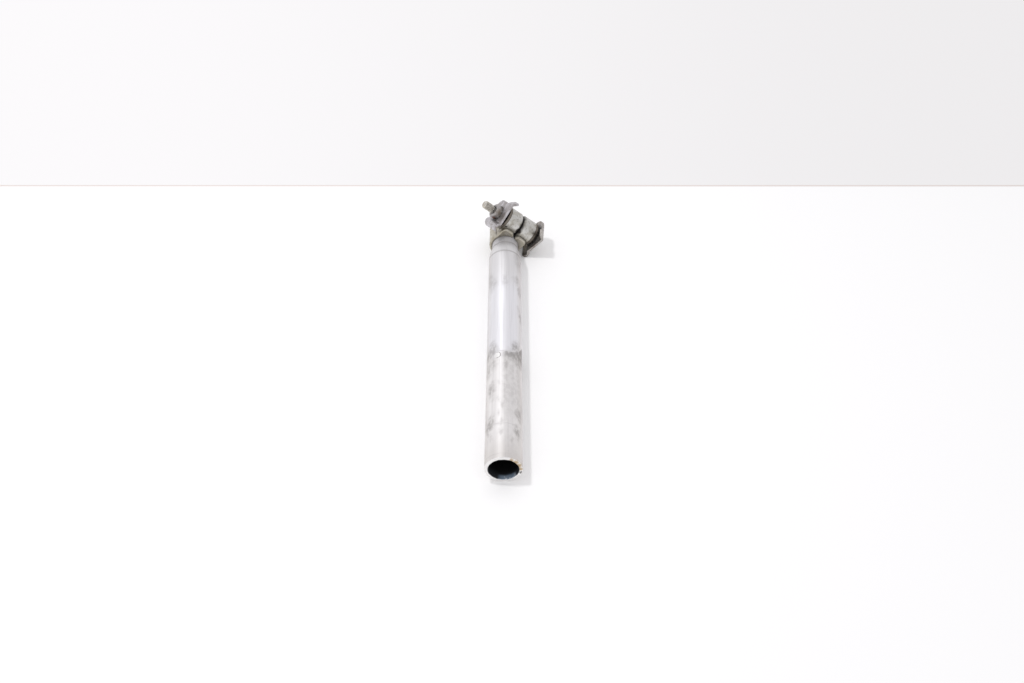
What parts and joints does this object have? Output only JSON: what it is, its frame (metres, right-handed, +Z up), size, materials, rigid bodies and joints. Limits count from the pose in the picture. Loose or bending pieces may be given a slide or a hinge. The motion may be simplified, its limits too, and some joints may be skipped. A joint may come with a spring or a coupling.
{
  "type": "bicycle seatpost",
  "caption": "Straight bicycle seatpost: a plain tube with a necked top and a split saddle clip with round cheeks, rail plates and a cross bolt.",
  "frame": {"origin": "on the post's axis, in the plane of its open lower end", "axes": "+Y along the post towards the neck and the clip, +Z up as the post lies on the ground"},
  "size_m": [0.0537, 0.274, 0.0526],
  "materials": {
    "post_tube": "drawn and polished, dulled by marks",
    "clip_band": "zinc plated, tarnished",
    "inner_cheek_left": "zinc plated, tarnished",
    "inner_cheek_right": "zinc plated, tarnished",
    "outer_plate_left": "zinc plated, tarnished",
    "outer_plate_right": "zinc plated, tarnished",
    "clamp_bolt": "zinc plated",
    "clamp_nut": "zinc plated, rust in the corners"
  },
  "bodies": {
    "post": {"post_tube": "post_tube"},
    "clip": {"clip_band": "clip_band", "clamp_bolt": "clamp_bolt", "clamp_nut": "clamp_nut"},
    "left_side": {"inner_cheek_left": "inner_cheek_left", "outer_plate_left": "outer_plate_left"},
    "right_side": {"inner_cheek_right": "inner_cheek_right", "outer_plate_right": "outer_plate_right"}
  },
  "joints": [
    {"name": "clip_swivel", "type": "hinge", "parent": "post", "child": "clip", "pos_m": [0, 0.257, 0], "axis": [0, 1, 0], "continuous": true},
    {"name": "left_tilt", "type": "hinge", "parent": "clip", "child": "left_side", "pos_m": [0.01043, 0.257, 0.01252], "axis": [0.7683, 0, -0.6401], "range_deg": [-60, 60]},
    {"name": "right_tilt", "type": "hinge", "parent": "clip", "child": "right_side", "pos_m": [0.01043, 0.257, 0.01252], "axis": [0.7683, 0, -0.6401], "range_deg": [-100, 20]}
  ]
}
